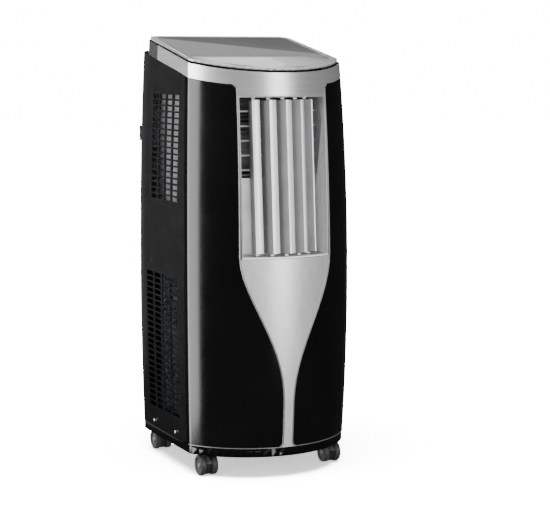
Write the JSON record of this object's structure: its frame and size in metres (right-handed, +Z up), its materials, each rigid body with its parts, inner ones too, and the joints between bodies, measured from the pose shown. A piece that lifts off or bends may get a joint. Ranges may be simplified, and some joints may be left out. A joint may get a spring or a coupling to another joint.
{
  "type": "portable air conditioner",
  "caption": "Tall rolling cabinet with a bowed gloss black front, a silver stemmed-glass insert, a slatted air outlet with turning vanes, side grilles and a sloped control lid.",
  "frame": {"origin": "centre of the bounding box at floor level, under the caster wheels", "axes": "+Z up, -Y is the front with the air outlet, +X is the object's left-hand side seen from behind (right in a front view)"},
  "size_m": [0.3144, 0.3794, 0.7799],
  "materials": {
    "gloss_black": "gloss",
    "satin_black": "satin",
    "silver": "satin silver lacquer on plastic",
    "vane_silver": "satin",
    "duct_grey": "matte",
    "bezel_grey": "satin",
    "smoked_glass": "high gloss",
    "board_green": "matte",
    "fin_aluminium": "fine fins",
    "copper": "bare copper",
    "steel": "plain",
    "filter_grey": "woven mesh",
    "rubber_black": "matte"
  },
  "bodies": {
    "cabinet": {"front_panel_left": "gloss_black", "front_panel_right": "gloss_black", "side_panel_left": "gloss_black", "side_panel_right": "gloss_black", "rear_panel": "satin_black", "rear_shoulder": "satin_black", "rear_collar": "satin_black", "base_pan": "satin_black", "compressor": "satin_black", "electrical_box": "satin_black", "exhaust_collar": "satin_black", "cord_hook_left": "satin_black", "cord_hook_right": "satin_black", "silver_collar": "silver", "front_insert": "silver", "outlet_frame": "silver", "inner_wall": "duct_grey", "outlet_duct": "duct_grey", "blower_housing": "duct_grey", "fan_housing": "duct_grey", "water_tray": "duct_grey", "top_cover": "bezel_grey", "display_glass": "smoked_glass", "touch_strip": "smoked_glass", "display_board": "board_green", "evaporator_coil": "fin_aluminium", "condenser_coil": "fin_aluminium", "discharge_pipe": "copper", "suction_pipe": "copper", "accumulator": "copper", "blower_motor": "steel", "fan_motor": "steel", "side_screw_left_1": "steel", "side_screw_left_2": "steel", "side_screw_right_1": "steel", "side_screw_right_2": "steel", "cord_gland": "rubber_black", "drain_plug": "rubber_black"},
    "vane_1": {"vane_1": "vane_silver"},
    "vane_2": {"vane_2": "vane_silver"},
    "vane_3": {"vane_3": "vane_silver"},
    "vane_4": {"vane_4": "vane_silver"},
    "vane_5": {"vane_5": "vane_silver"},
    "slat_1": {"slat_1": "vane_silver"},
    "slat_2": {"slat_2": "vane_silver"},
    "slat_3": {"slat_3": "vane_silver"},
    "slat_4": {"slat_4": "vane_silver"},
    "slat_5": {"slat_5": "vane_silver"},
    "blower_wheel": {"blower_wheel": "duct_grey"},
    "condenser_fan": {"condenser_fan": "duct_grey"},
    "air_filter_left": {"air_filter_left": "filter_grey"},
    "air_filter_right": {"air_filter_right": "filter_grey"},
    "caster_fork_front_left": {"caster_fork_front_left": "satin_black"},
    "caster_wheels_front_left": {"caster_wheels_front_left": "rubber_black"},
    "caster_fork_front_right": {"caster_fork_front_right": "satin_black"},
    "caster_wheels_front_right": {"caster_wheels_front_right": "rubber_black"},
    "caster_fork_rear_left": {"caster_fork_rear_left": "satin_black"},
    "caster_wheels_rear_left": {"caster_wheels_rear_left": "rubber_black"},
    "caster_fork_rear_right": {"caster_fork_rear_right": "satin_black"},
    "caster_wheels_rear_right": {"caster_wheels_rear_right": "rubber_black"}
  },
  "joints": [
    {"name": "vane_1_turn", "type": "hinge", "parent": "cabinet", "child": "vane_1", "pos_m": [-0.0489, -0.1486, 0.5335], "axis": [0, 0.068, 0.9977], "range_deg": [-65, 8]},
    {"name": "vane_2_turn", "type": "hinge", "parent": "cabinet", "child": "vane_2", "pos_m": [-0.02568, -0.16028, 0.5335], "axis": [0, 0.068, 0.9977], "range_deg": [-65, 8]},
    {"name": "vane_3_turn", "type": "hinge", "parent": "cabinet", "child": "vane_3", "pos_m": [0, -0.1643, 0.5335], "axis": [0, 0.068, 0.9977], "range_deg": [-65, 8]},
    {"name": "vane_4_turn", "type": "hinge", "parent": "cabinet", "child": "vane_4", "pos_m": [0.02568, -0.16028, 0.5335], "axis": [0, 0.068, 0.9977], "range_deg": [-65, 8]},
    {"name": "vane_5_turn", "type": "hinge", "parent": "cabinet", "child": "vane_5", "pos_m": [0.0489, -0.1486, 0.5335], "axis": [0, 0.068, 0.9977], "range_deg": [-65, 8]},
    {"name": "slat_1_tilt", "type": "hinge", "parent": "cabinet", "child": "slat_1", "pos_m": [0, -0.108, 0.6465], "axis": [1, 0, 0], "range_deg": [-35, 35]},
    {"name": "slat_2_tilt", "type": "hinge", "parent": "cabinet", "child": "slat_2", "pos_m": [0, -0.108, 0.6207], "axis": [1, 0, 0], "range_deg": [-35, 35]},
    {"name": "slat_3_tilt", "type": "hinge", "parent": "cabinet", "child": "slat_3", "pos_m": [0, -0.108, 0.5949], "axis": [1, 0, 0], "range_deg": [-35, 35]},
    {"name": "slat_4_tilt", "type": "hinge", "parent": "cabinet", "child": "slat_4", "pos_m": [0, -0.108, 0.5691], "axis": [1, 0, 0], "range_deg": [-35, 35]},
    {"name": "slat_5_tilt", "type": "hinge", "parent": "cabinet", "child": "slat_5", "pos_m": [0, -0.108, 0.5433], "axis": [1, 0, 0], "range_deg": [-35, 35]},
    {"name": "blower_wheel_spin", "type": "hinge", "parent": "cabinet", "child": "blower_wheel", "pos_m": [0, -0.001, 0.6], "axis": [1, 0, 0], "continuous": true},
    {"name": "condenser_fan_spin", "type": "hinge", "parent": "cabinet", "child": "condenser_fan", "pos_m": [0, 0.045, 0.24], "axis": [0, 1, 0], "continuous": true},
    {"name": "air_filter_left_slide", "type": "slide", "parent": "cabinet", "child": "air_filter_left", "axis": [0, 1, 0], "range_m": [0, 0.19]},
    {"name": "air_filter_right_slide", "type": "slide", "parent": "cabinet", "child": "air_filter_right", "axis": [0, 1, 0], "range_m": [0, 0.19]},
    {"name": "caster_front_left_swivel", "type": "hinge", "parent": "cabinet", "child": "caster_fork_front_left", "pos_m": [-0.122, -0.104, 0.038], "axis": [0, 0, 1], "continuous": true},
    {"name": "caster_front_left_roll", "type": "hinge", "parent": "caster_fork_front_left", "child": "caster_wheels_front_left", "pos_m": [-0.122, -0.096, 0.0185], "axis": [1, 0, 0], "continuous": true},
    {"name": "caster_front_right_swivel", "type": "hinge", "parent": "cabinet", "child": "caster_fork_front_right", "pos_m": [0.122, -0.104, 0.038], "axis": [0, 0, 1], "continuous": true},
    {"name": "caster_front_right_roll", "type": "hinge", "parent": "caster_fork_front_right", "child": "caster_wheels_front_right", "pos_m": [0.122, -0.096, 0.0185], "axis": [1, 0, 0], "continuous": true},
    {"name": "caster_rear_left_swivel", "type": "hinge", "parent": "cabinet", "child": "caster_fork_rear_left", "pos_m": [-0.122, 0.123, 0.038], "axis": [0, 0, 1], "continuous": true},
    {"name": "caster_rear_left_roll", "type": "hinge", "parent": "caster_fork_rear_left", "child": "caster_wheels_rear_left", "pos_m": [-0.122, 0.131, 0.0185], "axis": [1, 0, 0], "continuous": true},
    {"name": "caster_rear_right_swivel", "type": "hinge", "parent": "cabinet", "child": "caster_fork_rear_right", "pos_m": [0.122, 0.123, 0.038], "axis": [0, 0, 1], "continuous": true},
    {"name": "caster_rear_right_roll", "type": "hinge", "parent": "caster_fork_rear_right", "child": "caster_wheels_rear_right", "pos_m": [0.122, 0.131, 0.0185], "axis": [1, 0, 0], "continuous": true}
  ],
  "couplings": [
    {"joint": "vane_2_turn", "follows": "vane_1_turn", "ratio": 1},
    {"joint": "vane_3_turn", "follows": "vane_1_turn", "ratio": 1},
    {"joint": "vane_4_turn", "follows": "vane_1_turn", "ratio": 1},
    {"joint": "vane_5_turn", "follows": "vane_1_turn", "ratio": 1},
    {"joint": "slat_2_tilt", "follows": "slat_1_tilt", "ratio": 1},
    {"joint": "slat_3_tilt", "follows": "slat_1_tilt", "ratio": 1},
    {"joint": "slat_4_tilt", "follows": "slat_1_tilt", "ratio": 1},
    {"joint": "slat_5_tilt", "follows": "slat_1_tilt", "ratio": 1}
  ]
}
